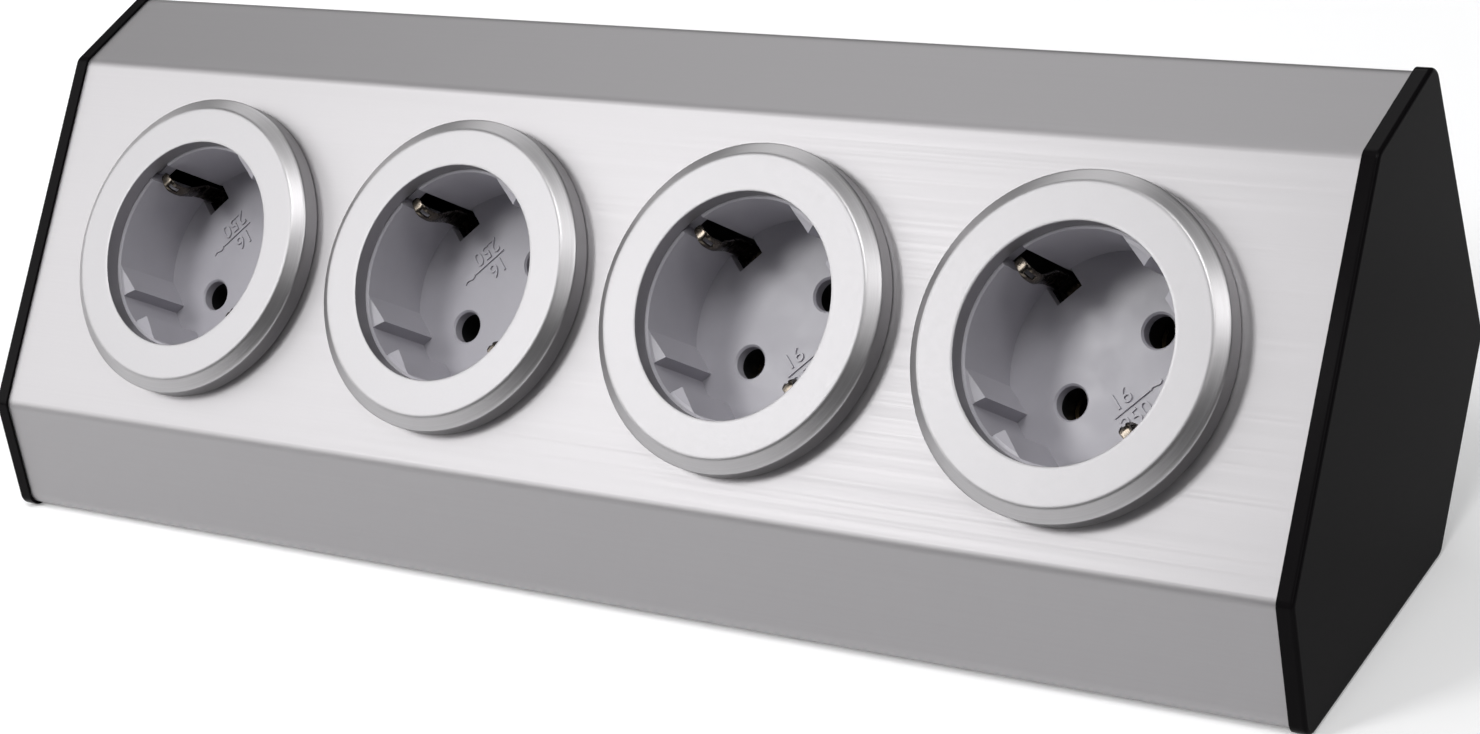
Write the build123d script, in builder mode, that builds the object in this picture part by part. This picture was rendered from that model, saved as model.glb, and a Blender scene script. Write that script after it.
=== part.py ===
from build123d import *
from math import cos, radians, sin, sqrt, tan
import os

os.makedirs("parts", exist_ok=True)

# Four-way mains socket block for the corner between a wall and a worktop.
# X runs along the block, +Y points at the wall and +Z up. The origin is in the
# middle of the footprint, on the worktop. Lengths are in millimetres, angles in degrees.
#
# Places in the cross-section are given as (v, w): v up the sloping front panel from its
# middle line, w out of the panel. Each socket has a seat plane at the panel's surface,
# turned so that its local X runs from one pin hole to the other, local Z out of the panel.

# Housing
socket_count = 4
socket_pitch = 65.0
end_room = 23.5
panel_width = 70.8
panel_reach = 67.9
bevel_angle = 9.0
rear_chamfer = 26.2
cover_sheet = 1.0
tray_sheet = 1.2
fold_radius = 3.0
return_width = 14.0
tray_edge_gap = 4.5

# End caps
cap_thickness = 3.0
cap_proud = 0.5
cap_corner_radius = 2.5
cap_edge_radius = 0.7
skirt_depth = 8.0
skirt_wall = 1.8
fit_gap = 0.2
boss_size = 7.5
boss_length = 10.0
boss_depth = 8.5
boss_floor = 1.0

# Countersunk screws that hold the cover, tray and end caps together
screw_head_radius = 2.8
screw_radius = 1.5
screw_length = 8.5
screw_gap = 0.05
screw_from_edge = 7.6
collar_radius = 3.0
collar_height = 3.0
drive_radius = 1.0
drive_depth = 0.8

# Rivet nuts for fixing the block to a worktop or a wall
nut_thread_radius = 2.0
nut_body_radius = 2.9
nut_flange_radius = 4.2
nut_flange = 0.8
nut_length = 9.0
nut_from_corner = 45.0

# Trim rings
ring_radius = 29.0
ring_face_radius = 26.7
ring_opening_gap = 0.5
ring_height = 5.15
ring_bevel_drop = 1.7
ring_rim_depth = 3.0
ring_edge_radius = 0.3
ring_screw_count = 3
ring_screw_turn = 15.0
ring_screw_radius = 1.25
ring_screw_bite = 1.8
ring_screw_head_radius = 2.3
ring_screw_head = 1.6

# Socket inserts, turned so that plugs hang clear of one another
socket_turn = 45.0
recess_radius = 19.5
recess_depth = 15.2
cup_wall = 2.4
floor_thickness = 2.2
flange_width = 6.0
flange_thickness = 2.5
rim_chamfer = 0.3
guide_height = 2.5
guide_channel = 6.8
guide_lead = 1.2
pin_spacing = 19.0
pin_hole_radius = 2.9
pin_hole_chamfer = 0.35
clip_slot_width = 4.4
notch_width = 5.4
notch_length = 4.0
cup_boss_radius = 2.8
cup_boss_height = 5.0
cup_boss_cover = 0.86

# Contact carriers and what they hold
contact_drop = 5.0
contact_bore = 2.35
contact_wall = 0.75
contact_slot = 0.8
contact_floor = 1.0
pocket_gap = 0.2
pocket_floor = 1.8
tail_radius = 1.2
strap_width = 5.0
strap_sheet = 0.8
strap_inset = 0.5
strap_groove = 1.7
post_width = 2.6
carrier_screw_radius = 1.2
carrier_screw_head_radius = 2.2
carrier_screw_head = 2.0

# Spring tongues that touch a plug's earth contacts
clip_sheet = 0.6
clip_width = 3.4
clip_tip_width = 1.9
clip_foot_width = 4.0
clip_foot_inset = 0.9
clip_foot_height = 4.2
clip_knee_height = 6.3
clip_bulge_reach = 4.2
clip_bulge_drop = 2.2
clip_shoulder_reach = 3.5
clip_tip_inset = 0.4
clip_tip_rise = 1.0
clip_bend_radius = 1.8
clip_seat_gap = 0.05

# Supply rails, terminal block and cable inlet
rail_width = 4.0
earth_rail_width = 3.0
rail_sheet = 0.8
rail_overhang = 4.0
rail_gap = 0.42
riser_gap = 0.3
terminal_gap = 0.5
terminal_length = 11.0
terminal_width = 27.0
terminal_headroom = 0.72
terminal_leg_share = 0.4
terminal_leg_width = 3.0
tongue_length = 5.0
tongue_drop = 5.0
tongue_end = 2.1
terminal_screw_radius = 1.4
terminal_screw_head_radius = 2.0
terminal_screw_rise = 1.2
cord_radius = 4.2
grommet_radius = 7.4
grommet_neck_radius = 6.0
grommet_lip = 1.5
clamp_width = 27.0
clamp_height = 10.0
clamp_gap = 0.6
clamp_screw_radius = 1.5
clamp_screw_head_radius = 2.6
clamp_screw_head = 1.6
clamp_screw_place = 9.5
clamp_screw_rise = 6.5
clamp_foot_length = 5.0

# Bonding bracket between the earth rail and the tray
bond_width = 5.0
bond_sheet = 0.8
bond_head_length = 9.0
bond_foot_length = 12.0
bond_screw_radius = 1.5
bond_screw_head_radius = 2.6
bond_screw_head = 1.6
bond_screw_from_end = 4.0
bond_screw_bite = 2.2

# Worked-out places round a socket's axis
ring_opening_radius = recess_radius + ring_opening_gap
guide_face = recess_radius - guide_height
notch_start = recess_radius - notch_length
cup_radius = recess_radius + cup_wall
panel_hole_radius = cup_radius + 2 * fit_gap
flange_radius = cup_radius + flange_width
ring_screw_place = cup_radius + flange_width / 2
ring_recess_radius = panel_hole_radius + fit_gap
carrier_radius = recess_radius
cup_boss_place = (carrier_radius - cup_boss_cover - cup_boss_radius) / sqrt(2)
strap_reach = carrier_radius - strap_inset
clip_foot_place = recess_radius - clip_foot_inset
clip_bulge_place = recess_radius - clip_bulge_reach
clip_shoulder_place = recess_radius - clip_shoulder_reach
clip_tip_place = recess_radius - clip_tip_inset
pin_v = pin_spacing / 2 * sin(radians(socket_turn))
pin_x = pin_spacing / 2 * cos(radians(socket_turn))

# Worked-out sizes of the cross-section
fold_angle = 45.0 - bevel_angle
end_margin = carrier_radius + end_room
cover_length = (socket_count - 1) * socket_pitch + 2 * end_margin
last_socket_x = (socket_count - 1) / 2 * socket_pitch
cover_end = cover_length / 2


def corner_height(front_inset):
    """Height of the sharp top corner above the worktop, with the front faces moved in."""
    fold_v = panel_width / 2 - front_inset * tan(radians(fold_angle / 2))
    to_wall = (panel_reach - fold_v - front_inset) / sqrt(2)
    fold_z = (fold_v - front_inset + panel_reach) / sqrt(2)
    return fold_z + to_wall * tan(radians(bevel_angle))


def rounded_height(sharp_height, radius):
    """Height that is left of a sharp top corner once it is rounded."""
    tilt = radians(bevel_angle)
    return sharp_height - radius * tan(tilt) - radius / cos(tilt) + radius


overall_height = rounded_height(corner_height(-cap_proud), cap_corner_radius)
wall_y = overall_height / 2
panel_y = wall_y - panel_reach / sqrt(2)
panel_z = panel_reach / sqrt(2)
chamfer_w = rear_chamfer / sqrt(2) - panel_reach


def section_point(v, w):
    """(y, z) of a place in the cross-section."""
    return (panel_y + (v - w) / sqrt(2), panel_z + (v + w) / sqrt(2))


def outline(front_inset, rear_inset):
    """Six corners of the cross-section, from the top at the wall round the front."""
    fold_v = panel_width / 2 - front_inset * tan(radians(fold_angle / 2))
    wall_line = panel_reach - rear_inset * sqrt(2)
    bevel_run = (wall_line - fold_v - front_inset) / (cos(radians(fold_angle)) + sin(radians(fold_angle)))
    top_v = fold_v + bevel_run * cos(radians(fold_angle))
    top_w = -front_inset - bevel_run * sin(radians(fold_angle))
    rear_w = chamfer_w + rear_inset
    rear_v = wall_line + rear_w
    corners = [(top_v, top_w), (fold_v, -front_inset), (-fold_v, -front_inset)]
    corners += [(-top_v, top_w), (-rear_v, rear_w), (rear_v, rear_w)]
    return [section_point(v, w) for v, w in corners]


panel = Plane(origin=(0, panel_y, panel_z), x_dir=(1, 0, 0), z_dir=(0, -1, 1))


def panel_point(x, v, w):
    """A point of the part from its place on the panel."""
    return panel.from_local_coords(Vector(x, v, w))


def seat(index):
    """Plane at the panel's surface on a socket's axis, turned with the socket."""
    x = (index - (socket_count - 1) / 2) * socket_pitch
    turn = radians(socket_turn)
    pin_line = panel.x_dir * cos(turn) + panel.y_dir * sin(turn)
    return Plane(origin=panel_point(x, 0, 0), x_dir=pin_line, z_dir=panel.z_dir)


def axial(plane):
    """Plane through a seat's axis: local X outward along the pin line, local Y along the axis."""
    return Plane(origin=plane.origin, x_dir=plane.x_dir, z_dir=-plane.y_dir)


def save(builder, name):
    """Label a finished piece and write it."""
    builder.part.label = name
    export_step(builder.part, f"parts/{name}.step")


# Screw places on the wall side and the worktop side
screw_x = [-(cover_end - boss_length / 2), 0, cover_end - boss_length / 2]
screw_reach = corner_height(0) - screw_from_edge
back_seats = [Plane(origin=(x, wall_y, screw_reach), x_dir=(1, 0, 0), z_dir=(0, 1, 0)) for x in screw_x]
base_seats = [Plane(origin=(x, wall_y - screw_reach, 0), x_dir=(1, 0, 0), z_dir=(0, 0, -1)) for x in screw_x]
screw_seats = back_seats + base_seats
middle_seats = [back_seats[1], base_seats[1]]

nut_x = socket_pitch
nut_back = [Plane(origin=(x, wall_y, nut_from_corner), x_dir=(1, 0, 0), z_dir=(0, 1, 0)) for x in (-nut_x, nut_x)]
nut_base = [
    Plane(origin=(x, wall_y - nut_from_corner, 0), x_dir=(1, 0, 0), z_dir=(0, 0, -1)) for x in (-nut_x, nut_x)
]

# Levels along a socket's axis, from the panel's surface, down to the cord clamp on the tray.
# The contact carriers fill the depth that is left between the cups and the rails.
rim_w = ring_height - ring_rim_depth
floor_w = rim_w - recess_depth
cup_bottom_w = floor_w - floor_thickness
tray_floor_w = chamfer_w + cover_sheet + tray_sheet
clamp_top_w = tray_floor_w + clamp_height
rail_low_w = clamp_top_w + rail_gap
carrier_bottom_w = rail_low_w + rail_sheet
flange_top_w = -cover_sheet
flange_bottom_w = flange_top_w - flange_thickness
contact_top_w = cup_bottom_w - contact_drop
pocket_bottom_w = carrier_bottom_w + pocket_floor
strap_top_w = cup_bottom_w - strap_groove + strap_sheet
hinge_w = strap_top_w + clip_seat_gap + clip_sheet / 2

# Cable inlet, in the space beyond the last socket
inlet_x = last_socket_x + carrier_radius + riser_gap + rail_sheet + terminal_gap + terminal_length / 2
inlet = Plane(origin=panel_point(inlet_x, 0, chamfer_w + cover_sheet), x_dir=(1, 0, 0), z_dir=-panel.z_dir)
terminal_top_w = cup_bottom_w - terminal_screw_rise - terminal_headroom
terminal_leg = terminal_leg_share * (terminal_top_w - clamp_top_w)
terminal_height = terminal_top_w - clamp_top_w - terminal_leg
tongue_w = terminal_top_w - tongue_drop
riser_x = last_socket_x + carrier_radius + riser_gap
terminal_screw_x = riser_x + tongue_length - tongue_end
pole_v = (-pin_v, 0, pin_v)
clamp_foot = [
    Plane(origin=panel_point(inlet_x + terminal_length / 4, v, chamfer_w + cover_sheet), z_dir=-panel.z_dir)
    for v in (-clamp_screw_place, clamp_screw_place)
]
clamp_face_x = inlet_x - terminal_length / 2
clamp_draw = [
    Plane(origin=panel_point(clamp_face_x, v, tray_floor_w + clamp_screw_rise), z_dir=(-1, 0, 0))
    for v in (-clamp_screw_place, clamp_screw_place)
]

# Bonding bracket, midway between two sockets
bond_x = socket_pitch
bond_screw_x = bond_x + bond_foot_length - bond_screw_from_end


# Housing pieces


def make_cover():
    """Folded front sheet with a narrow return along the wall and one along the worktop."""
    top, upper_fold, lower_fold, front = outline(0, 0)[:4]
    start = (top[0], top[1] - return_width)
    finish = (front[0] + return_width, front[1])
    with BuildPart() as cover:
        with BuildSketch(Plane.YZ):
            with BuildLine():
                FilletPolyline(start, top, upper_fold, lower_fold, front, finish, radius=fold_radius)
                offset(amount=cover_sheet, side=Side.LEFT)
            make_face()
        extrude(amount=cover_end, both=True)
        with BuildSketch(panel):
            with GridLocations(socket_pitch, 0, socket_count, 1):
                Circle(panel_hole_radius)
        extrude(amount=2 * cover_sheet, both=True, mode=Mode.SUBTRACT)
        for index in range(socket_count):
            with BuildSketch(seat(index)):
                with PolarLocations(ring_screw_place, ring_screw_count, start_angle=ring_screw_turn):
                    Circle(ring_screw_radius + screw_gap)
            extrude(amount=2 * cover_sheet, both=True, mode=Mode.SUBTRACT)
        with Locations(*screw_seats):
            CounterSinkHole(
                radius=screw_radius + screw_gap,
                counter_sink_radius=screw_head_radius + screw_gap,
                depth=2 * cover_sheet,
                counter_sink_angle=90,
            )
    return cover


def make_tray():
    """Folded rear sheet: wall side, cable chamfer and worktop side, inside the cover's returns."""
    corners = outline(0, cover_sheet)
    top, front, chamfer_low, chamfer_high = corners[0], corners[3], corners[4], corners[5]
    start = (top[0], top[1] - tray_edge_gap)
    finish = (front[0] + tray_edge_gap, front[1])
    with BuildPart() as tray:
        with BuildSketch(Plane.YZ):
            with BuildLine():
                FilletPolyline(start, chamfer_high, chamfer_low, finish, radius=fold_radius)
                offset(amount=tray_sheet, side=Side.RIGHT)
            make_face()
        extrude(amount=cover_end, both=True)
        with Locations(*[plane.offset(-cover_sheet - tray_sheet) for plane in middle_seats]):
            Cylinder(collar_radius, collar_height, align=(Align.CENTER, Align.CENTER, Align.MAX))
        with Locations(*[plane.offset(-cover_sheet) for plane in screw_seats]):
            CounterSinkHole(
                radius=screw_radius + screw_gap,
                counter_sink_radius=max(screw_head_radius - cover_sheet, screw_radius) + 2 * screw_gap,
                depth=2 * (tray_sheet + collar_height),
                counter_sink_angle=90,
            )
        with Locations(*[plane.offset(-cover_sheet) for plane in nut_back + nut_base]):
            Hole(nut_body_radius + screw_gap, depth=2 * tray_sheet)
        with Locations(inlet):
            Hole(grommet_neck_radius, depth=2 * tray_sheet)
        with Locations(*clamp_foot):
            CounterSinkHole(
                radius=clamp_screw_radius + screw_gap,
                counter_sink_radius=clamp_screw_head_radius + screw_gap,
                depth=2 * tray_sheet,
                counter_sink_angle=90,
            )
        with BuildSketch(panel.offset(tray_floor_w)):
            with Locations((bond_screw_x, 0)):
                Circle(bond_screw_radius + screw_gap)
        extrude(amount=2 * tray_sheet, both=True, mode=Mode.SUBTRACT)
    return tray


def make_right_cap():
    """Moulded cap: end plate, a skirt that fits inside the sheets and two screw bosses."""
    front_inset = cover_sheet + fit_gap
    rear_inset = cover_sheet + tray_sheet + fit_gap
    with BuildPart() as cap:
        with BuildSketch(Plane.YZ.offset(cover_end)) as plate:
            with BuildLine():
                Polyline(*outline(-cap_proud, 0), close=True)
            make_face()
            fillet(plate.vertices(), cap_corner_radius)
        extrude(amount=cap_thickness)
        fillet(cap.faces().sort_by(Axis.X)[-1].edges(), cap_edge_radius)
        with BuildSketch(Plane.YZ.offset(cover_end)) as skirt:
            with BuildLine():
                Polyline(*outline(front_inset, rear_inset), close=True)
            make_face()
            fillet(skirt.vertices(), cap_corner_radius)
            with BuildLine():
                Polyline(*outline(front_inset + skirt_wall, rear_inset + skirt_wall), close=True)
            make_face(mode=Mode.SUBTRACT)
        extrude(amount=-skirt_depth)
        with Locations(*[plane.offset(-rear_inset) for plane in (back_seats[-1], base_seats[-1])]):
            Box(boss_length, boss_size, boss_depth, align=(Align.CENTER, Align.CENTER, Align.MAX))
            Hole(screw_radius + screw_gap, depth=boss_depth - boss_floor)
    return cap


def make_left_cap(right_cap):
    """Mirror image of the right cap."""
    with BuildPart() as cap:
        mirror(right_cap.part, about=Plane.YZ)
    return cap


def make_cover_screws(seats):
    """Countersunk screws with their heads flush with the cover's returns."""
    with BuildPart(*seats) as screws:
        Cylinder(screw_radius, screw_length, align=(Align.CENTER, Align.CENTER, Align.MAX))
        Cone(
            screw_radius,
            screw_head_radius,
            screw_head_radius - screw_radius,
            align=(Align.CENTER, Align.CENTER, Align.MAX),
        )
        Cylinder(
            drive_radius,
            drive_depth,
            align=(Align.CENTER, Align.CENTER, Align.MAX),
            mode=Mode.SUBTRACT,
        )
    return screws


def make_rivet_nuts():
    """Rivet nuts in the tray, open towards the wall and the worktop."""
    with BuildPart(*[plane.offset(-cover_sheet) for plane in nut_back + nut_base]) as nuts:
        Cylinder(nut_body_radius, nut_length, align=(Align.CENTER, Align.CENTER, Align.MAX))
        Cylinder(nut_flange_radius, nut_flange, align=(Align.CENTER, Align.CENTER, Align.MIN))
        Cylinder(nut_thread_radius, 3 * nut_length, mode=Mode.SUBTRACT)
    return nuts


# Socket pieces


def make_trim_ring(place):
    """Turned ring with a bevelled edge, stepped underneath to pass over the insert's rim."""
    corners = [
        (ring_opening_radius, ring_height),
        (ring_face_radius, ring_height),
        (ring_radius, ring_height - ring_bevel_drop),
        (ring_radius, 0),
        (ring_recess_radius, 0),
        (ring_recess_radius, rim_w + screw_gap),
        (ring_opening_radius, rim_w + screw_gap),
    ]
    with BuildPart() as ring:
        with BuildSketch(axial(place)) as section:
            with BuildLine():
                Polyline(*corners, close=True)
            make_face()
            fillet(section.vertices().sort_by(Axis.Y)[-3:], ring_edge_radius)
        revolve(axis=Axis(place.origin, place.z_dir))
        with BuildSketch(place):
            with PolarLocations(ring_screw_place, ring_screw_count, start_angle=ring_screw_turn):
                Circle(ring_screw_radius + screw_gap)
        extrude(amount=ring_screw_bite + fit_gap, mode=Mode.SUBTRACT)
    return ring


def make_ring_screws(place):
    """Screws from behind that clamp the panel between the insert's flange and the ring."""
    with BuildPart() as screws:
        with BuildSketch(place.offset(flange_bottom_w)):
            with PolarLocations(ring_screw_place, ring_screw_count, start_angle=ring_screw_turn):
                Circle(ring_screw_radius)
        extrude(amount=ring_screw_bite - flange_bottom_w)
        with BuildSketch(place.offset(flange_bottom_w)):
            with PolarLocations(ring_screw_place, ring_screw_count, start_angle=ring_screw_turn):
                Circle(ring_screw_head_radius)
        extrude(amount=-ring_screw_head)
    return screws


def make_insert(place):
    """Moulded cup with a recess for the plug, guides at both ends of the pin line and earth slots."""
    with BuildPart() as insert:
        with BuildSketch(place.offset(cup_bottom_w)):
            Circle(cup_radius)
        extrude(amount=rim_w - cup_bottom_w)
        with BuildSketch(place.offset(flange_bottom_w)):
            Circle(flange_radius)
        extrude(amount=flange_thickness)
        with BuildSketch(place.offset(floor_w)):
            Circle(recess_radius)
            with GridLocations(2 * guide_face + guide_height, guide_channel + recess_radius, 2, 2):
                Rectangle(guide_height, recess_radius, mode=Mode.SUBTRACT)
        extrude(amount=recess_depth, mode=Mode.SUBTRACT)
        lead_radius = sqrt(guide_face**2 + (guide_channel / 2) ** 2)
        with Locations(place.offset(rim_w)):
            Cone(
                lead_radius,
                recess_radius,
                guide_lead,
                align=(Align.CENTER, Align.CENTER, Align.MAX),
                mode=Mode.SUBTRACT,
            )
            Cone(
                recess_radius,
                recess_radius + rim_chamfer,
                rim_chamfer,
                align=(Align.CENTER, Align.CENTER, Align.MAX),
                mode=Mode.SUBTRACT,
            )
        with BuildSketch(place.offset(cup_bottom_w)):
            slot_start = clip_foot_place - clip_sheet
            slot_length = cup_radius + fit_gap - slot_start
            with GridLocations(1, 2 * slot_start + slot_length, 1, 2):
                Rectangle(clip_slot_width, slot_length)
            with GridLocations(1, 2 * notch_start + notch_length, 1, 2):
                Rectangle(notch_width, notch_length)
        extrude(amount=floor_thickness, mode=Mode.SUBTRACT)
        with BuildSketch(place.offset(floor_w)):
            with GridLocations(1, 2 * slot_start + slot_length, 1, 2):
                Rectangle(clip_slot_width, slot_length)
        extrude(amount=recess_depth, mode=Mode.SUBTRACT)
        with Locations(place.offset(floor_w)):
            with GridLocations(pin_spacing, 1, 2, 1):
                CounterSinkHole(
                    radius=pin_hole_radius,
                    counter_sink_radius=pin_hole_radius + pin_hole_chamfer,
                    depth=floor_thickness,
                    counter_sink_angle=90,
                )
        with BuildSketch(place.offset(cup_bottom_w)):
            for side in (-1, 1):
                with Locations((side * cup_boss_place, side * cup_boss_place)):
                    Circle(cup_boss_radius)
        extrude(amount=-cup_boss_height)
        with BuildSketch(place.offset(cup_bottom_w - cup_boss_height)):
            for side in (-1, 1):
                with Locations((side * cup_boss_place, side * cup_boss_place)):
                    Circle(carrier_screw_radius + screw_gap)
        extrude(amount=cup_boss_height, mode=Mode.SUBTRACT)
        with BuildSketch(place.offset(flange_bottom_w)):
            with PolarLocations(ring_screw_place, ring_screw_count, start_angle=ring_screw_turn):
                Circle(ring_screw_radius + screw_gap)
        extrude(amount=flange_thickness, mode=Mode.SUBTRACT)
    return insert


def make_carrier(place):
    """Moulded block behind the insert, with pockets for the contacts and a groove for the strap."""
    height = cup_bottom_w - carrier_bottom_w
    with BuildPart() as carrier:
        with BuildSketch(place.offset(carrier_bottom_w)):
            Circle(carrier_radius)
        extrude(amount=height)
        with BuildSketch(place.offset(pocket_bottom_w)):
            with GridLocations(pin_spacing, 1, 2, 1):
                Circle(contact_bore + contact_wall + pocket_gap)
        extrude(amount=cup_bottom_w - pocket_bottom_w, mode=Mode.SUBTRACT)
        with BuildSketch(place.offset(carrier_bottom_w)):
            with GridLocations(pin_spacing, 1, 2, 1):
                Circle(tail_radius + pocket_gap)
            Rectangle(post_width + pocket_gap, post_width + pocket_gap)
            for side in (-1, 1):
                with Locations((side * cup_boss_place, side * cup_boss_place)):
                    Circle(carrier_screw_radius + pocket_gap)
        extrude(amount=height, mode=Mode.SUBTRACT)
        with BuildSketch(place.offset(cup_bottom_w)):
            Rectangle(strap_width + pocket_gap, 2 * cup_radius)
        extrude(amount=-strap_groove, mode=Mode.SUBTRACT)
        with BuildSketch(place.offset(cup_bottom_w)):
            for side in (-1, 1):
                with Locations((side * cup_boss_place, side * cup_boss_place)):
                    Circle(cup_boss_radius + pocket_gap)
        extrude(amount=-cup_boss_height, mode=Mode.SUBTRACT)
        with BuildSketch(place.offset(carrier_bottom_w)):
            for side in (-1, 1):
                with Locations((side * cup_boss_place, side * cup_boss_place)):
                    Circle(carrier_screw_head_radius + pocket_gap)
        extrude(amount=carrier_screw_head + pocket_gap, mode=Mode.SUBTRACT)
    return carrier


def make_contact(place, side):
    """Sprung sleeve for one plug pin, with a tail that reaches its rail."""
    with BuildPart() as contact:
        with BuildSketch(place.offset(pocket_bottom_w)):
            with Locations((side * pin_spacing / 2, 0)):
                Circle(contact_bore + contact_wall)
        extrude(amount=contact_top_w - pocket_bottom_w)
        with BuildSketch(place.offset(pocket_bottom_w + contact_floor)):
            with Locations((side * pin_spacing / 2, 0)):
                Circle(contact_bore)
                Rectangle(contact_slot, 4 * contact_bore)
        extrude(amount=contact_top_w - pocket_bottom_w, mode=Mode.SUBTRACT)
        with BuildSketch(place.offset(carrier_bottom_w)):
            with Locations((side * pin_spacing / 2, 0)):
                Circle(tail_radius)
        extrude(amount=pocket_bottom_w - carrier_bottom_w)
    return contact


def make_strap(place):
    """Earth strap across the carrier under both tongues, with a post down to the earth rail."""
    with BuildPart() as strap:
        with BuildSketch(place.offset(strap_top_w)):
            Rectangle(strap_width, 2 * strap_reach)
        extrude(amount=-strap_sheet)
        with BuildSketch(place.offset(strap_top_w)):
            Rectangle(post_width, post_width)
        extrude(amount=carrier_bottom_w - strap_top_w)
    return strap


def make_clip(place, side):
    """Sprung tongue: a foot that rocks on the strap, a bulge towards the plug and a hooked top."""
    across = Plane(origin=place.origin, x_dir=place.y_dir * side, z_dir=place.x_dir * side)
    above = Plane(origin=place.origin, x_dir=place.y_dir * side, z_dir=place.z_dir)
    foot = (clip_foot_place, hinge_w)
    knee = (clip_foot_place, hinge_w + clip_knee_height)
    bulge = (clip_bulge_place, -clip_bulge_drop)
    shoulder = (clip_shoulder_place, clip_tip_rise)
    tip = (clip_tip_place, clip_tip_rise)
    tip_end = clip_tip_place + clip_sheet
    with BuildPart() as clip:
        with BuildSketch(across):
            with BuildLine():
                FilletPolyline(foot, knee, bulge, shoulder, tip, radius=clip_bend_radius)
                offset(amount=clip_sheet / 2)
            make_face()
        extrude(amount=clip_width / 2, both=True)
        with BuildSketch(above.offset(clip_tip_rise - clip_bend_radius)):
            with BuildLine():
                Polyline(
                    (clip_shoulder_place, clip_width / 2),
                    (tip_end, clip_tip_width / 2),
                    (tip_end, clip_width),
                    (clip_shoulder_place, clip_width),
                    close=True,
                )
            make_face()
            mirror(about=Plane.XZ)
        extrude(amount=2 * clip_bend_radius, mode=Mode.SUBTRACT)
        with BuildSketch(across):
            with Locations(foot):
                Rectangle(clip_sheet, clip_foot_height, align=(Align.CENTER, Align.MIN))
                Circle(clip_sheet / 2)
        extrude(amount=clip_foot_width / 2, both=True)
    return clip


def make_carrier_screws(place):
    """Screws that hold the carrier to the insert's bosses."""
    with BuildPart() as screws:
        with BuildSketch(place.offset(carrier_bottom_w + pocket_gap)):
            for side in (-1, 1):
                with Locations((side * cup_boss_place, side * cup_boss_place)):
                    Circle(carrier_screw_head_radius)
        extrude(amount=carrier_screw_head)
        with BuildSketch(place.offset(carrier_bottom_w + carrier_screw_head)):
            for side in (-1, 1):
                with Locations((side * cup_boss_place, side * cup_boss_place)):
                    Circle(carrier_screw_radius)
        extrude(amount=cup_bottom_w - carrier_bottom_w - carrier_screw_head - fit_gap)
    return screws


# Supply pieces


def make_rail(v, width):
    """Rail under the carriers that turns up beside the terminal block and ends in a tongue."""
    start_x = -last_socket_x - pin_x - rail_overhang
    with BuildPart() as rail:
        with BuildSketch(panel.offset(rail_low_w)):
            with Locations((start_x, v)):
                Rectangle(riser_x + rail_sheet - start_x, width, align=(Align.MIN, Align.CENTER))
        extrude(amount=rail_sheet)
        with BuildSketch(panel.offset(rail_low_w)):
            with Locations((riser_x, v)):
                Rectangle(rail_sheet, width, align=(Align.MIN, Align.CENTER))
        extrude(amount=tongue_w - rail_low_w)
        with BuildSketch(panel.offset(tongue_w)):
            with Locations((riser_x, v)):
                Rectangle(tongue_length, width, align=(Align.MIN, Align.CENTER))
        extrude(amount=-rail_sheet)
    return rail


def make_terminal_block():
    """Three-pole block on two legs over the cord clamp, with a slot for each rail's tongue."""
    with BuildPart() as block:
        with BuildSketch(panel.offset(clamp_top_w)):
            with Locations((inlet_x, 0)):
                with GridLocations(1, terminal_width - terminal_leg_width, 1, 2):
                    Rectangle(terminal_length, terminal_leg_width)
        extrude(amount=terminal_leg)
        with BuildSketch(panel.offset(clamp_top_w + terminal_leg)):
            with Locations((inlet_x, 0)):
                Rectangle(terminal_length, terminal_width)
        extrude(amount=terminal_height)
        with BuildSketch(panel.offset(tongue_w + fit_gap)):
            for v in pole_v:
                with Locations((inlet_x - terminal_length / 2, v)):
                    Rectangle(tongue_length, rail_width + fit_gap, align=(Align.MIN, Align.CENTER))
        extrude(amount=-rail_sheet - 2 * fit_gap, mode=Mode.SUBTRACT)
        with BuildSketch(panel.offset(terminal_top_w)):
            for v in pole_v:
                with Locations((terminal_screw_x, v)):
                    Circle(terminal_screw_radius + screw_gap)
        extrude(amount=-tongue_drop, mode=Mode.SUBTRACT)
        with BuildSketch(panel.offset(clamp_top_w + terminal_leg)):
            for v in pole_v:
                with Locations((inlet_x + terminal_length / 4, v)):
                    Circle(terminal_screw_radius)
        extrude(amount=terminal_height / 2, mode=Mode.SUBTRACT)
    return block


def make_terminal_screws():
    """Clamping screws that press on the rails' tongues."""
    with BuildPart() as screws:
        with BuildSketch(panel.offset(tongue_w)):
            for v in pole_v:
                with Locations((terminal_screw_x, v)):
                    Circle(terminal_screw_radius)
        extrude(amount=tongue_drop + terminal_screw_rise)
        with BuildSketch(panel.offset(terminal_top_w)):
            for v in pole_v:
                with Locations((terminal_screw_x, v)):
                    Circle(terminal_screw_head_radius)
        extrude(amount=terminal_screw_rise)
    return screws


def make_grommet():
    """Rubber grommet that lines the cable hole in the chamfered rear face."""
    with BuildPart(inlet) as grommet:
        Cylinder(grommet_radius, grommet_lip, align=(Align.CENTER, Align.CENTER, Align.MIN))
        Cylinder(
            grommet_neck_radius - screw_gap,
            tray_sheet,
            align=(Align.CENTER, Align.CENTER, Align.MAX),
        )
        with Locations((0, 0, -tray_sheet)):
            Cylinder(grommet_radius, grommet_lip, align=(Align.CENTER, Align.CENTER, Align.MAX))
        Cylinder(cord_radius, 4 * (tray_sheet + grommet_lip), mode=Mode.SUBTRACT)
    return grommet


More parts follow.
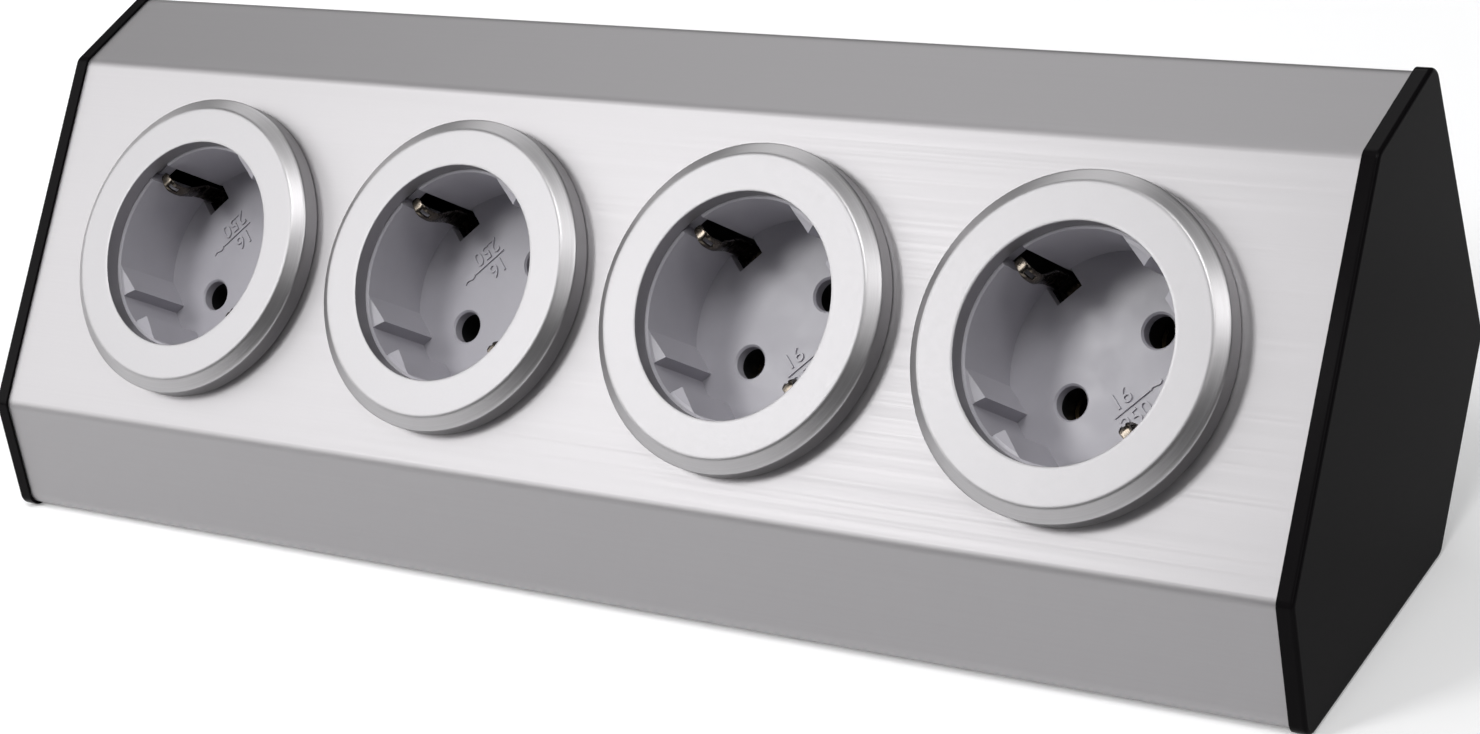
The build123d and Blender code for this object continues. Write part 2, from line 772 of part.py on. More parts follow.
def make_clamp_half(side):
    """One half of the cord clamp on the tray: side 1 is screwed down, side -1 is drawn up to it."""
    half = terminal_length / 2
    edge_align = Align.MIN if side > 0 else Align.MAX
    with BuildPart() as clamp:
        with BuildSketch(panel.offset(tray_floor_w)):
            with Locations((inlet_x + side * clamp_gap / 2, 0)):
                Rectangle(half - clamp_gap / 2, clamp_width, align=(edge_align, Align.CENTER))
        extrude(amount=clamp_height)
        with BuildSketch(panel.offset(tray_floor_w)):
            with Locations((inlet_x, 0)):
                Circle(cord_radius)
        extrude(amount=clamp_height, mode=Mode.SUBTRACT)
        with BuildSketch(panel.offset(tray_floor_w)):
            with Locations((inlet_x, 0)):
                Circle(grommet_radius + fit_gap)
        extrude(amount=grommet_lip + fit_gap, mode=Mode.SUBTRACT)
        with Locations(*clamp_draw):
            Cylinder(clamp_screw_radius + screw_gap, 3 * terminal_length, mode=Mode.SUBTRACT)
        if side > 0:
            with Locations(*clamp_foot):
                Hole(clamp_screw_radius + screw_gap, depth=clamp_foot_length + screw_gap)
    return clamp


def make_clamp_screws():
    """Screws that draw the two clamp halves together over the cord."""
    with BuildPart(*clamp_draw) as screws:
        Cylinder(
            clamp_screw_radius,
            terminal_length,
            align=(Align.CENTER, Align.CENTER, Align.MAX),
        )
        Cylinder(
            clamp_screw_head_radius,
            clamp_screw_head,
            align=(Align.CENTER, Align.CENTER, Align.MIN),
        )
    return screws


def make_clamp_foot_screws():
    """Countersunk screws from the chamfered rear face into the fixed clamp half."""
    with BuildPart(*clamp_foot) as screws:
        Cylinder(clamp_screw_radius, clamp_foot_length, align=(Align.CENTER, Align.CENTER, Align.MAX))
        Cone(
            clamp_screw_radius,
            clamp_screw_head_radius,
            clamp_screw_head_radius - clamp_screw_radius,
            align=(Align.CENTER, Align.CENTER, Align.MAX),
        )
    return screws


def make_bond_bracket():
    """Bent strip that carries the earth rail on the tray and bonds the steel housing to earth."""
    with BuildPart() as bracket:
        with BuildSketch(panel.offset(rail_low_w)):
            with Locations((bond_x + bond_sheet, 0)):
                Rectangle(bond_head_length, bond_width, align=(Align.MAX, Align.CENTER))
        extrude(amount=-bond_sheet)
        with BuildSketch(panel.offset(tray_floor_w)):
            with Locations((bond_x, 0)):
                Rectangle(bond_sheet, bond_width, align=(Align.MIN, Align.CENTER))
        extrude(amount=rail_low_w - tray_floor_w)
        with BuildSketch(panel.offset(tray_floor_w)):
            with Locations((bond_x, 0)):
                Rectangle(bond_foot_length, bond_width, align=(Align.MIN, Align.CENTER))
        extrude(amount=bond_sheet)
        with BuildSketch(panel.offset(tray_floor_w)):
            with Locations((bond_screw_x, 0)):
                Circle(bond_screw_radius + screw_gap)
        extrude(amount=bond_sheet, mode=Mode.SUBTRACT)
    return bracket


def make_bond_screw():
    """Screw that holds the bonding bracket to the tray."""
    with BuildPart() as screw:
        with BuildSketch(panel.offset(tray_floor_w + bond_sheet)):
            with Locations((bond_screw_x, 0)):
                Circle(bond_screw_head_radius)
        extrude(amount=bond_screw_head)
        with BuildSketch(panel.offset(tray_floor_w + bond_sheet)):
            with Locations((bond_screw_x, 0)):
                Circle(bond_screw_radius)
        extrude(amount=-bond_sheet - bond_screw_bite)
    return screw


# Build and write the pieces

save(make_cover(), "steel_cover")
save(make_tray(), "rear_tray")
end_cap_right = make_right_cap()
save(end_cap_right, "end_cap_right")
save(make_left_cap(end_cap_right), "end_cap_left")
save(make_cover_screws(back_seats), "cover_screws_back")
save(make_cover_screws(base_seats), "cover_screws_base")
save(make_rivet_nuts(), "rivet_nuts")

for index in range(socket_count):
    place = seat(index)
    number = index + 1
    save(make_trim_ring(place), f"trim_ring_{number}")
    save(make_ring_screws(place), f"ring_screws_{number}")
    save(make_insert(place), f"socket_insert_{number}")
    save(make_carrier(place), f"contact_carrier_{number}")
    save(make_contact(place, -1), f"line_contact_{number}")
    save(make_contact(place, 1), f"neutral_contact_{number}")
    save(make_strap(place), f"earth_strap_{number}")
    save(make_clip(place, 1), f"earth_clip_upper_{number}")
    save(make_clip(place, -1), f"earth_clip_lower_{number}")
    save(make_carrier_screws(place), f"carrier_screws_{number}")

save(make_rail(-pin_v, rail_width), "line_rail")
save(make_rail(pin_v, rail_width), "neutral_rail")
save(make_rail(0, earth_rail_width), "earth_rail")
save(make_terminal_block(), "terminal_block")
save(make_terminal_screws(), "terminal_screws")
save(make_grommet(), "cable_grommet")
save(make_clamp_half(1), "cord_clamp_base")
save(make_clamp_half(-1), "cord_clamp_bar")
save(make_clamp_screws(), "cord_clamp_screws")
save(make_clamp_foot_screws(), "clamp_foot_screws")
save(make_bond_bracket(), "bond_bracket")
save(make_bond_screw(), "bond_screw")
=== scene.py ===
import bmesh
import bpy
from math import cos, pi, radians, sin, sqrt
from mathutils import Matrix, Vector


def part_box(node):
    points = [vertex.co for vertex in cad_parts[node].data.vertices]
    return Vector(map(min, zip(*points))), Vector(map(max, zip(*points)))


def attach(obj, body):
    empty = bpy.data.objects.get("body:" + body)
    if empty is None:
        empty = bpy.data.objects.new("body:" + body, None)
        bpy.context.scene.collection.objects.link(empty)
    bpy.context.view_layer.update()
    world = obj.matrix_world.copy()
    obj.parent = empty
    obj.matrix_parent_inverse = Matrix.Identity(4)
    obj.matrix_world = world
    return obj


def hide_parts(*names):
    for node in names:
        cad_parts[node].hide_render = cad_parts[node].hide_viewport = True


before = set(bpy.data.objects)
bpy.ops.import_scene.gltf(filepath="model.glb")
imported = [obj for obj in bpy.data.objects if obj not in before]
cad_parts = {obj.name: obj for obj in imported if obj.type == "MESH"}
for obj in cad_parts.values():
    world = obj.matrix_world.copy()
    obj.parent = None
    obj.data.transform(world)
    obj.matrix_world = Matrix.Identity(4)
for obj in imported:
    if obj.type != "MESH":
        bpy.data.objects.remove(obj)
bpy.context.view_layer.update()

# The view: a little above the block and to its right, rolled a few degrees, as the
# photograph was taken. The lens is long, so the far end is only slightly smaller.
eye = Vector((0.374178, -0.398164, 0.327698))
to_right = Vector((0.807313, 0.536584, -0.245607))
to_top = Vector((-0.102233, 0.537074, 0.837317))
camera = bpy.data.objects.new("camera", bpy.data.cameras.new("camera"))
camera.data.sensor_fit = "HORIZONTAL"
camera.data.sensor_width = 36.0
camera.data.lens = 83.762
camera.data.clip_start = 0.02
camera.data.clip_end = 20.0
turned_to = Matrix((to_right, to_top, to_right.cross(to_top))).transposed()
camera.matrix_world = Matrix.Translation(eye) @ turned_to.to_4x4()
bpy.context.scene.collection.objects.link(camera)
bpy.context.scene.camera = camera
bpy.context.scene.view_settings.view_transform = "Standard"


# Floor: a plain white table, large enough to fill every view. The lamps light it nearly
# white round the block, and further out, where they fall off, its own glow makes up the rest.
table_reach = 6.0
table_drop = 0.00005
glow_starts, glow_at_start = 0.2, 0.2
glow_ends, glow_at_end = 1.5, 0.9


def table_top():
    mesh = bmesh.new()
    bmesh.ops.create_grid(mesh, x_segments=1, y_segments=1, size=table_reach)
    bmesh.ops.translate(mesh, verts=mesh.verts, vec=(0, 0, -table_drop))
    data = bpy.data.meshes.new("table_top")
    mesh.to_mesh(data)
    mesh.free()
    table = bpy.data.objects.new("table_top", data)
    bpy.context.scene.collection.objects.link(table)
    paint = bpy.data.materials.new("table_white")
    paint.use_nodes = True
    nodes, links = paint.node_tree.nodes, paint.node_tree.links
    shader = nodes["Principled BSDF"]
    shader.inputs["Base Color"].default_value = (0.82, 0.82, 0.825, 1)
    shader.inputs["Roughness"].default_value = 0.9
    shader.inputs["Specular IOR Level"].default_value = 0.1
    shader.inputs["Emission Color"].default_value = (1, 1, 1, 1)
    rays = nodes.new("ShaderNodeLightPath")
    seen = nodes.new("ShaderNodeMath")
    seen.operation = "MAXIMUM"
    links.new(rays.outputs["Is Camera Ray"], seen.inputs[0])
    links.new(rays.outputs["Is Glossy Ray"], seen.inputs[1])
    through = nodes.new("ShaderNodeMath")
    through.operation = "MAXIMUM"
    links.new(seen.outputs[0], through.inputs[0])
    links.new(rays.outputs["Is Transmission Ray"], through.inputs[1])
    place = nodes.new("ShaderNodeTexCoord")
    distance = nodes.new("ShaderNodeVectorMath")
    distance.operation = "LENGTH"
    links.new(place.outputs["Object"], distance.inputs[0])
    outwards = nodes.new("ShaderNodeMapRange")
    outwards.inputs["From Min"].default_value = glow_starts
    outwards.inputs["From Max"].default_value = glow_ends
    outwards.inputs["To Min"].default_value = glow_at_start
    outwards.inputs["To Max"].default_value = glow_at_end
    links.new(distance.outputs["Value"], outwards.inputs["Value"])
    glow = nodes.new("ShaderNodeMath")
    glow.operation = "MULTIPLY"
    links.new(through.outputs[0], glow.inputs[0])
    links.new(outwards.outputs["Result"], glow.inputs[1])
    links.new(glow.outputs[0], shader.inputs["Emission Strength"])
    data.materials.append(paint)


table_top()


# Light: soft boxes round a plain room. A compact one near by on the left is what the sloping
# steel mirrors, and throws the shadows into the recesses. Wide ones beside it even out the
# panel, those above and on the right fill the recesses, and one behind lights the top fold.
def soft_box(name, turn, rise, width, height, watts, away=1.6):
    """A lamp that faces the block, turn degrees to the right of the front and rise degrees up."""
    level = cos(radians(rise))
    aim = Vector((sin(radians(turn)) * level, -cos(radians(turn)) * level, sin(radians(rise))))
    lamp = bpy.data.lights.new(name, "AREA")
    lamp.shape = "RECTANGLE"
    lamp.size = width
    lamp.size_y = height
    lamp.energy = watts
    box = bpy.data.objects.new(name, lamp)
    box.location = aim * away
    box.rotation_mode = "QUATERNION"
    box.rotation_quaternion = aim.to_track_quat("Z", "Y")
    bpy.context.scene.collection.objects.link(box)


soft_box("key_box", -40, 47, 0.20, 0.20, 2.3, away=0.85)
soft_box("wide_box", -64, 27, 1.4, 0.9, 8.0)
soft_box("left_box", -88, 20, 1.8, 0.8, 4.5)
soft_box("top_box", 0, 88, 1.2, 1.2, 3.9)
soft_box("overhead_box", 30, 74, 0.5, 0.5, 6.5)
soft_box("near_right_box", 52, 42, 0.4, 0.4, 1.2)
soft_box("right_box", 84, 50, 0.6, 0.6, 5.6)
soft_box("back_left_box", -142, 46, 1.0, 0.8, 4.3)
room = bpy.data.worlds.new("room")
room.use_nodes = True
room.node_tree.nodes["Background"].inputs["Color"].default_value = (0.97, 0.98, 1.0, 1)
room.node_tree.nodes["Background"].inputs["Strength"].default_value = 0.02
bpy.context.scene.world = room


# Folded cover: one sheet of 1 mm stainless steel, brushed along its length before it is
# folded, so every streak runs from end to end. It carries the four sockets and is held
# by countersunk screws in its narrow returns.
noise_low, noise_high = 0.3, 0.7


def finish(name, colour, roughness, metallic=0.0, specular=0.5):
    """A finish whose even numbers sit on the shader itself."""
    made = bpy.data.materials.new(name)
    made.use_nodes = True
    shader = made.node_tree.nodes["Principled BSDF"]
    shader.inputs["Base Color"].default_value = (*colour, 1)
    shader.inputs["Roughness"].default_value = roughness
    shader.inputs["Metallic"].default_value = metallic
    shader.inputs["Specular IOR Level"].default_value = specular
    return made


def noise_over(made, stretch, turn=(0, 0, 0), detail=4.0, rough=0.6, layer=None):
    """Noise on the piece's own coordinates or layer, stretched to follow how it was worked."""
    nodes, links = made.node_tree.nodes, made.node_tree.links
    if layer:
        place = nodes.new("ShaderNodeAttribute")
        place.attribute_name = layer
        start = place.outputs["Vector"]
    else:
        place = nodes.new("ShaderNodeTexCoord")
        start = place.outputs["Object"]
    spread = nodes.new("ShaderNodeMapping")
    spread.inputs["Scale"].default_value = stretch
    spread.inputs["Rotation"].default_value = turn
    noise = nodes.new("ShaderNodeTexNoise")
    noise.inputs["Scale"].default_value = 1.0
    noise.inputs["Detail"].default_value = detail
    noise.inputs["Roughness"].default_value = rough
    links.new(start, spread.inputs["Vector"])
    links.new(spread.outputs["Vector"], noise.inputs["Vector"])
    return noise.outputs["Fac"]


def between(made, noise, low, high, socket):
    """The noise carries a shader value from low to high."""
    nodes, links = made.node_tree.nodes, made.node_tree.links
    span = nodes.new("ShaderNodeMapRange")
    span.inputs["From Min"].default_value = noise_low
    span.inputs["From Max"].default_value = noise_high
    span.inputs["To Min"].default_value = low
    span.inputs["To Max"].default_value = high
    links.new(noise, span.inputs["Value"])
    links.new(span.outputs["Result"], nodes["Principled BSDF"].inputs[socket])


def tinted(made, noise, dark, light):
    """The noise carries the colour from dark to light."""
    nodes, links = made.node_tree.nodes, made.node_tree.links
    ramp = nodes.new("ShaderNodeValToRGB")
    ramp.color_ramp.elements[0].position = noise_low
    ramp.color_ramp.elements[0].color = (*dark, 1)
    ramp.color_ramp.elements[1].position = noise_high
    ramp.color_ramp.elements[1].color = (*light, 1)
    links.new(noise, ramp.inputs["Fac"])
    links.new(ramp.outputs["Color"], nodes["Principled BSDF"].inputs["Base Color"])


def relief(made, noise, depth, strength):
    """The noise raises the surface by depth, in metres."""
    nodes, links = made.node_tree.nodes, made.node_tree.links
    bump = nodes.new("ShaderNodeBump")
    bump.inputs["Distance"].default_value = depth
    bump.inputs["Strength"].default_value = strength
    links.new(noise, bump.inputs["Height"])
    links.new(bump.outputs["Normal"], nodes["Principled BSDF"].inputs["Normal"])


def dress(made, *names):
    """CAD nodes get a finish in place of their plain colour."""
    for name in names:
        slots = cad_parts[name].data.materials
        slots.clear()
        slots.append(made)


brushed_steel = finish("brushed_steel", (0.37, 0.361, 0.37), 0.50, metallic=1.0)
streaks = noise_over(brushed_steel, (7, 2600, 2600), detail=6.0)
tinted(brushed_steel, streaks, (0.36, 0.351, 0.36), (0.38, 0.371, 0.38))
between(brushed_steel, streaks, 0.47, 0.53, "Roughness")
relief(brushed_steel, streaks, 0.00001, 0.15)
dress(brushed_steel, "steel_cover")


# Rear tray: folded zinc-coated sheet that closes the wall side, the sloping cable side
# and the worktop side. The coating shows dull grey crystals.
zinc = finish("zinc_sheet", (0.42, 0.43, 0.44), 0.45, metallic=1.0)
crystals = noise_over(zinc, (120, 120, 120), detail=1.0)
tinted(zinc, crystals, (0.34, 0.35, 0.36), (0.50, 0.51, 0.52))
between(zinc, crystals, 0.36, 0.55, "Roughness")
dress(zinc, "rear_tray")


# End caps: glossy black mouldings a little proud of the sheet, with a rounded edge and a
# skirt that fits inside the folds. The gloss has the faint waviness of moulded plastic.
gloss_black = finish("gloss_black_moulding", (0.0055, 0.005, 0.0055), 0.15, specular=0.025)
swirl = noise_over(gloss_black, (30, 30, 30), detail=2.0)
between(gloss_black, swirl, 0.11, 0.18, "Roughness")
relief(gloss_black, noise_over(gloss_black, (45, 45, 45), detail=1.0), 0.00002, 0.3)
dress(gloss_black, "end_cap_right", "end_cap_left")


# Screws and rivet nuts: small zinc-plated steel fasteners. The plating is a little uneven,
# so some spots shine more than others.
plated = finish("plated_screws", (0.55, 0.55, 0.56), 0.35, metallic=1.0)
between(plated, noise_over(plated, (500, 500, 500)), 0.28, 0.45, "Roughness")
dress(plated, "cover_screws_back", "cover_screws_base", "rivet_nuts", "clamp_foot_screws")
dress(plated, "cord_clamp_screws", "terminal_screws", "bond_screw")


# Trim rings: turned from aluminium bar. The flat face is satin finished and runs over a soft
# corner into a wide bevel, which is left as cut, with a crisp outer corner. Three screws from
# behind hold each ring, in blind holes, so nothing shows from the front.
ring_radius = 0.029
ring_face_radius = 0.0267
ring_opening = 0.020
ring_recess = 0.0225
ring_height = 0.00515
ring_rim = 0.0022
ring_bevel = 0.0017
ring_soft_edge = 0.00035
ring_edge = 0.00018
ring_loop = 0.0006
ring_foot = 0.0003
ring_steps = 168
ring_screw_count = 3
ring_screw_turn = 15
ring_screw_place = 0.0249
ring_screw_hole = 0.00125
ring_screw_depth = 0.0019
ring_screw_sides = 24
smooth_below = 28


def seat(number):
    """A socket's own frame, X along its pin line and Z out of the panel, from its ring's box."""
    low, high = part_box(f"trim_ring_{number}")
    reach = ring_radius / sqrt(2)
    middle = Vector(((low[0] + high[0]) / 2, high[1] - reach, low[2] + reach))
    out = Vector((0, -1, 1)).normalized()
    pin_line = Vector((sqrt(0.5), 0.5, 0.5))
    axes = Matrix((pin_line, out.cross(pin_line), out)).transposed()
    return Matrix.Translation(middle) @ axes.to_4x4()


def circle_edges(mesh, radius, height):
    """The edges of a turned mesh that lie on one circle."""
    found = []
    for edge in mesh.edges:
        spots = [vert.co for vert in edge.verts]
        if all(abs(spot.xy.length - radius) < 1e-5 and abs(spot.z - height) < 1e-5 for spot in spots):
            found.append(edge)
    return found


def turned_ring():
    """The ring's section spun once round the socket's axis, with its corners eased and a loop
    beside each corner, so that the flats between them stay flat."""
    slope = Vector((ring_radius - ring_face_radius, -ring_bevel)).normalized()
    bevel_top = Vector((ring_face_radius, ring_height)) + slope * ring_loop
    bevel_low = Vector((ring_radius, ring_height - ring_bevel)) - slope * ring_loop
    section = [
        (ring_opening, ring_rim),
        (ring_opening, ring_height - ring_loop),
        (ring_opening, ring_height),
        (ring_opening + ring_loop, ring_height),
        (ring_face_radius - ring_loop, ring_height),
        (ring_face_radius, ring_height),
        (bevel_top.x, bevel_top.y),
        (bevel_low.x, bevel_low.y),
        (ring_radius, ring_height - ring_bevel),
        (ring_radius, ring_height - ring_bevel - ring_loop),
        (ring_radius, ring_foot),
        (ring_radius - ring_foot, 0),
        (ring_recess, 0),
        (ring_recess, ring_rim),
    ]
    mesh = bmesh.new()
    corners = [mesh.verts.new((radius, 0, height)) for radius, height in section]
    sides = [mesh.edges.new(pair) for pair in zip(corners, corners[1:] + corners[:1])]
    bmesh.ops.spin(mesh, geom=corners + sides, cent=(0, 0, 0), axis=(0, 0, 1), dvec=(0, 0, 0),
                   angle=2 * pi, steps=ring_steps, use_merge=True, use_duplicate=False)
    bmesh.ops.remove_doubles(mesh, verts=mesh.verts, dist=1e-7)
    bmesh.ops.recalc_face_normals(mesh, faces=mesh.faces)
    eased = [
        (ring_opening, ring_height, ring_edge, 2),
        (ring_face_radius, ring_height, ring_soft_edge, 4),
        (ring_radius, ring_height - ring_bevel, ring_edge, 2),
    ]
    for radius, height, width, segments in eased:
        bmesh.ops.bevel(mesh, geom=circle_edges(mesh, radius, height), offset=width, segments=segments,
                        offset_type="OFFSET", profile=0.5, affect="EDGES", material=-1)
    return mesh


def screw_holes():
    """Short rods where the ring's blind holes go."""
    mesh = bmesh.new()
    for step in range(ring_screw_count):
        turn = radians(ring_screw_turn + 360 / ring_screw_count * step)
        where = Matrix.Translation((ring_screw_place * cos(turn), ring_screw_place * sin(turn), 0))
        bmesh.ops.create_cone(mesh, cap_ends=True, segments=ring_screw_sides, radius1=ring_screw_hole,
                              radius2=ring_screw_hole, depth=2 * ring_screw_depth, matrix=where)
    return mesh


def new_object(mesh, name):
    """The finished mesh becomes an object at the origin, smooth but for its sharp edges."""
    data = bpy.data.meshes.new(name)
    mesh.to_mesh(data)
    mesh.free()
    data.shade_smooth()
    data.set_sharp_from_angle(angle=radians(smooth_below))
    made = bpy.data.objects.new(name, data)
    bpy.context.scene.collection.objects.link(made)
    return made


def taken_out(mesh, rods):
    """What is left of a mesh when the rods are cut out of it."""
    whole, cutter = new_object(mesh, "whole"), new_object(rods, "cutter")
    cut = whole.modifiers.new("cut", "BOOLEAN")
    cut.object = cutter
    cut.operation = "DIFFERENCE"
    cut.solver = "EXACT"
    drilled = whole.evaluated_get(bpy.context.evaluated_depsgraph_get())
    left = bmesh.new()
    left.from_mesh(bpy.data.meshes.new_from_object(drilled))
    for used in (whole, cutter):
        bpy.data.objects.remove(used)
    return left


def turned_layer(mesh):
    """Keep each point's radius and height, which the turning lines follow."""
    layer = mesh.verts.layers.float_vector.new("turned")
    for vert in mesh.verts:
        vert[layer] = (vert.co.xy.length, vert.co.z, 0)


satin = finish("satin_aluminium", (0.355, 0.348, 0.357), 0.50, metallic=1.0)
grain = noise_over(satin, (2600, 2600, 2600), detail=3.0)
tinted(satin, grain, (0.345, 0.338, 0.347), (0.365, 0.358, 0.367))
between(satin, grain, 0.47, 0.53, "Roughness")
bare = finish("cut_aluminium", (0.40, 0.392, 0.40), 0.38, metallic=1.0)
lines = noise_over(bare, (5200, 5200, 1), detail=3.0, layer="turned")
tinted(bare, lines, (0.38, 0.372, 0.38), (0.42, 0.412, 0.42))
between(bare, lines, 0.34, 0.42, "Roughness")
relief(bare, lines, 0.000008, 0.2)
for number in range(1, 5):
    mesh = taken_out(turned_ring(), screw_holes())
    turned_layer(mesh)
    mesh.faces.index_update()
    outer = [face.index for face in mesh.faces if face.calc_center_median().xy.length > ring_face_radius]
    mesh.transform(seat(number))
    ring = new_object(mesh, f"turned_ring_{number}")
    ring.data.materials.clear()
    ring.data.materials.append(satin)
    ring.data.materials.append(bare)
    for index in outer:
        ring.data.polygons[index].material_index = 1
    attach(ring, "housing")
    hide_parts(f"trim_ring_{number}")
    dress(plated, f"ring_screws_{number}")


# Socket inserts: one pale blue-grey moulding each, with a plug recess, a pair of guides at
# each end of the pin line, two earth slots and two pin holes.
pale_grey = finish("pale_grey_moulding", (0.395, 0.385, 0.42), 0.36, specular=0.35)
skin = noise_over(pale_grey, (220, 220, 220), detail=3.0)
tinted(pale_grey, skin, (0.385, 0.375, 0.41), (0.405, 0.395, 0.43))
between(pale_grey, skin, 0.30, 0.40, "Roughness")
relief(pale_grey, noise_over(pale_grey, (900, 900, 900), detail=2.0), 0.00001, 0.15)
for number in range(1, 5):
    dress(pale_grey, f"socket_insert_{number}")


# Rating figures: plain raised numbers moulded into each recess floor, current over voltage
# with a bar between and the sign for alternating current beside it.
floor_height = -0.01305
figure_rise = 0.00028
figure_size = 0.0041
sign_size = 0.0048
bar_length = 0.0074
bar_width = 0.00022
bar_across, bar_up = -0.0009, -0.0074


def raised_figures(number):
    """The figures of one recess as a single thin mesh, turned round in the left-hand pair."""
    whole = bmesh.new()
    for words, size, across, up in (
        ("16", figure_size, -0.0040, -0.0066),
        ("250", figure_size, -0.0043, -0.0109),
        ("~", sign_size, 0.0029, -0.0086),
    ):
        curve = bpy.data.curves.new("figures", "FONT")
        curve.body = words
        curve.size = size
        curve.extrude = figure_rise
        writing = bpy.data.objects.new("figures", curve)
        bpy.context.scene.collection.objects.link(writing)
        drawn = writing.evaluated_get(bpy.context.evaluated_depsgraph_get())
        letters = bpy.data.meshes.new_from_object(drawn)
        letters.transform(Matrix.Translation((across, up, 0)))
        whole.from_mesh(letters)
        bpy.data.objects.remove(writing)
    bar = Matrix.Diagonal((bar_length, bar_width, 2 * figure_rise, 1))
    bmesh.ops.create_cube(whole, size=1.0, matrix=Matrix.Translation((bar_across, bar_up, 0)) @ bar)
    bmesh.ops.remove_doubles(whole, verts=whole.verts, dist=1e-7)
    half_turn = Matrix.Rotation(pi if number < 3 else 0, 4, "Z")
    whole.transform(seat(number) @ Matrix.Translation((0, 0, floor_height)) @ half_turn)
    return whole


for number in range(1, 5):
    figures = new_object(raised_figures(number), f"rating_figures_{number}")
    figures.data.materials.append(pale_grey)
    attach(figures, "housing")


# Earth tongues: strips of spring brass with a nickel plate, drawn dark brown as painted shade.
# Each stands broad on the strap in its slot, narrows to a rounded crown that leans into the
# recess, and turns over a shoulder to a rounded tip at the rim. A hole punched at the shoulder lets the
# hook give.
# Painted shade: the plate is drawn dark brown, far darker than bright nickel, for the shade in the
# slots.
nickel_in_painted_shade = finish("nickel_plate_painted_shade", (0.10, 0.086, 0.070), 0.24, metallic=1.0)
wear = noise_over(nickel_in_painted_shade, (700, 700, 700), detail=3.0)
tinted(nickel_in_painted_shade, wear, (0.075, 0.063, 0.051), (0.13, 0.114, 0.096))
between(nickel_in_painted_shade, wear, 0.18, 0.32, "Roughness")
foot_out, foot_height = 0.0186, -0.0158
knee_height = -0.0095
crown_out, crown_height = 0.0153, -0.0022
shoulder_out, shoulder_height = 0.0160, 0.0010
tip_out = 0.0192
bend_size = 0.0012
foot_half_width = 0.0017
crown_half_width = 0.0011
tip_half_width = 0.00085
tip_roundness = 0.0009
narrowing = 0.006
crown_roundness = 0.00045
hole_half_width = 0.0006
hole_bottom = -0.0006
hole_end = 0.01665
tongue_sheet = 0.0005
tongue_edge = 0.0001


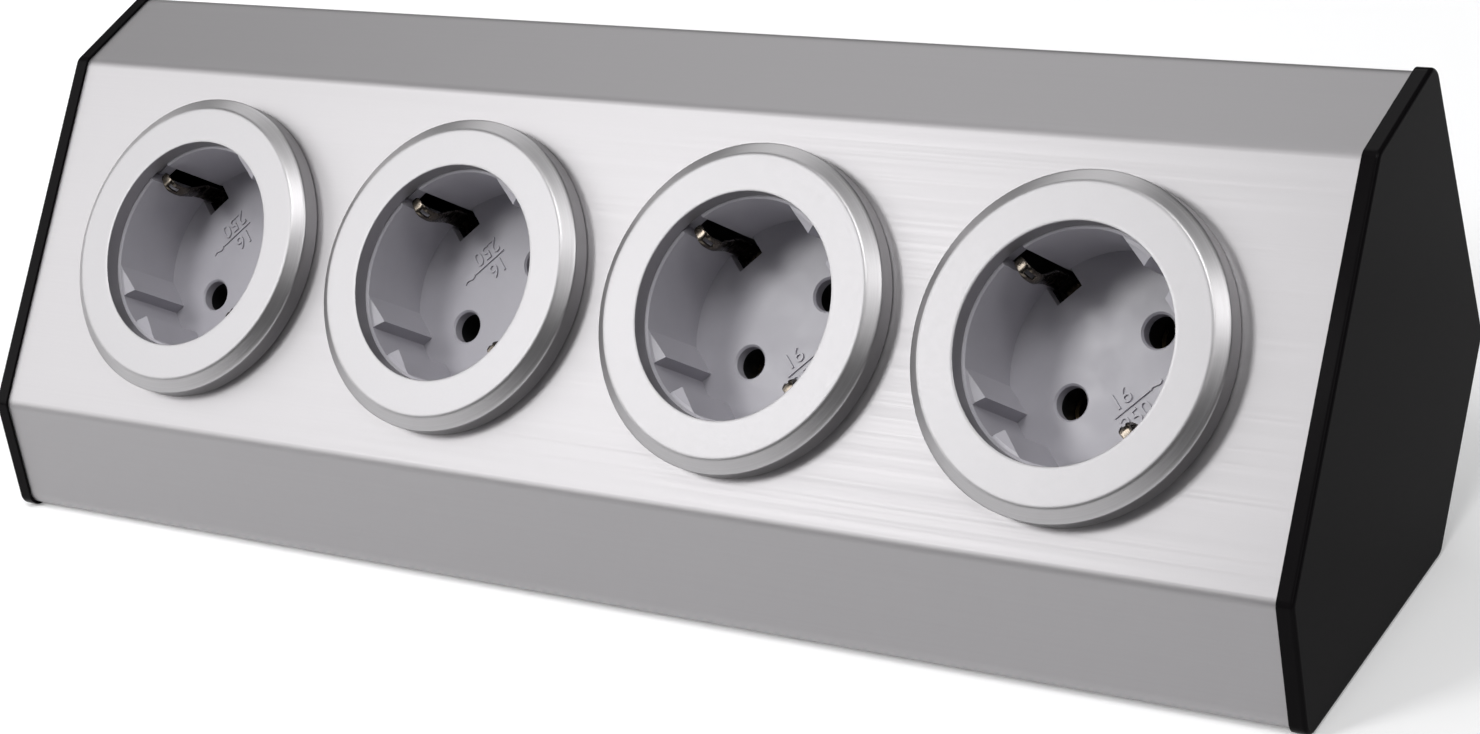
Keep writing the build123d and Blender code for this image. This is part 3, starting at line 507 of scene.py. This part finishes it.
def tongue():
    """One tongue in the seat's frame: width along X, outwards along Y, up along Z."""
    course = [
        (foot_out, foot_height),
        (foot_out, knee_height),
        (crown_out, crown_height),
        (shoulder_out, shoulder_height),
        (tip_out, shoulder_height),
    ]
    mesh = bmesh.new()
    line = [mesh.verts.new((-foot_half_width, out, up)) for out, up in course]
    runs = [mesh.edges.new(pair) for pair in zip(line, line[1:])]
    pulled = bmesh.ops.extrude_edge_only(mesh, edges=runs)["geom"]
    moved = [part for part in pulled if isinstance(part, bmesh.types.BMVert)]
    bmesh.ops.translate(mesh, verts=moved, vec=(2 * foot_half_width, 0, 0))
    bends = [edge for edge in mesh.edges if len(edge.link_faces) == 2]
    bmesh.ops.bevel(mesh, geom=bends, offset=bend_size, offset_type="OFFSET", segments=6, profile=0.5,
                    affect="EDGES", material=-1)
    tips = [vert for vert in mesh.verts if vert.co.y > tip_out - 1e-5 and vert.co.z > 0]
    bmesh.ops.bevel(mesh, geom=tips, offset=tip_roundness, offset_type="OFFSET", segments=5, profile=0.5,
                    affect="VERTICES", material=-1)
    for across in (-2 * hole_half_width, -hole_half_width, hole_half_width, 2 * hole_half_width):
        bmesh.ops.bisect_plane(mesh, geom=mesh.verts[:] + mesh.edges[:] + mesh.faces[:],
                               plane_co=(across, 0, 0), plane_no=(1, 0, 0))
    hole = []
    for face in mesh.faces:
        middle = face.calc_center_median()
        if abs(middle.x) < hole_half_width and middle.y < hole_end and middle.z > hole_bottom:
            hole.append(face)
    bmesh.ops.delete(mesh, geom=hole, context="FACES")
    for vert in mesh.verts:
        share = vert.co.x / foot_half_width
        lean = max(0.0, min(1.0, (vert.co.z - knee_height) / narrowing))
        run = 0.0
        if vert.co.z > 0:
            run = max(0.0, min(1.0, (vert.co.y - shoulder_out) / (tip_out - shoulder_out)))
        half_width = foot_half_width + (crown_half_width - foot_half_width) * lean
        vert.co.x = share * (half_width + (tip_half_width - crown_half_width) * run)
        vert.co.y += crown_roundness * lean * (1 - run) * share ** 2
    bmesh.ops.recalc_face_normals(mesh, faces=mesh.faces)
    return mesh


for number in range(1, 5):
    for word, turn in (("upper", 0), ("lower", pi)):
        mesh = tongue()
        mesh.transform(seat(number) @ Matrix.Rotation(turn, 4, "Z"))
        strip = new_object(mesh, f"earth_tongue_{word}_{number}")
        wall = strip.modifiers.new("sheet", "SOLIDIFY")
        wall.thickness = tongue_sheet
        wall.offset = 0
        ease = strip.modifiers.new("ease", "BEVEL")
        ease.width = tongue_edge
        ease.segments = 2
        ease.limit_method = "ANGLE"
        strip.data.materials.append(nickel_in_painted_shade)
        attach(strip, f"{word}_earth_clip_{number}")
        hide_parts(f"earth_clip_{word}_{number}")


# Contact carriers: moulded blocks behind the inserts, drawn black as painted shade so that the
# pin holes look black. The sprung sleeves for the plug pins are bare brass; the earth strap is
# plated like its tongues and drawn as dark, as painted shade.
# One dark moulding: on the carriers its black is painted shade, on the terminal block and clamp it is
# their own colour.
dark = finish("dark_moulding", (0.012, 0.012, 0.013), 0.5, specular=0.2)
between(dark, noise_over(dark, (250, 250, 250)), 0.44, 0.58, "Roughness")
brass = finish("bare_brass", (0.36, 0.27, 0.15), 0.32, metallic=1.0)
tarnish = noise_over(brass, (400, 400, 400))
tinted(brass, tarnish, (0.26, 0.19, 0.10), (0.44, 0.33, 0.18))
between(brass, tarnish, 0.22, 0.38, "Roughness")
for number in range(1, 5):
    # The carriers' black is painted shade seen through the pin holes.
    dress(dark, f"contact_carrier_{number}")
    dress(brass, f"line_contact_{number}", f"neutral_contact_{number}")
    # The strap gets the same dark nickel, painted shade where it shows in the notch.
    dress(nickel_in_painted_shade, f"earth_strap_{number}")
    dress(plated, f"carrier_screws_{number}")


# Supply side: three brass rails, a dark terminal block, a rubber grommet in the sloping
# rear face and a two-part cord clamp of the same dark moulding.
rubber = finish("black_rubber", (0.02, 0.02, 0.021), 0.7, specular=0.3)
between(rubber, noise_over(rubber, (900, 900, 900)), 0.62, 0.8, "Roughness")
dress(brass, "line_rail", "neutral_rail", "earth_rail", "bond_bracket")
dress(dark, "terminal_block", "cord_clamp_base", "cord_clamp_bar")
dress(rubber, "cable_grommet")
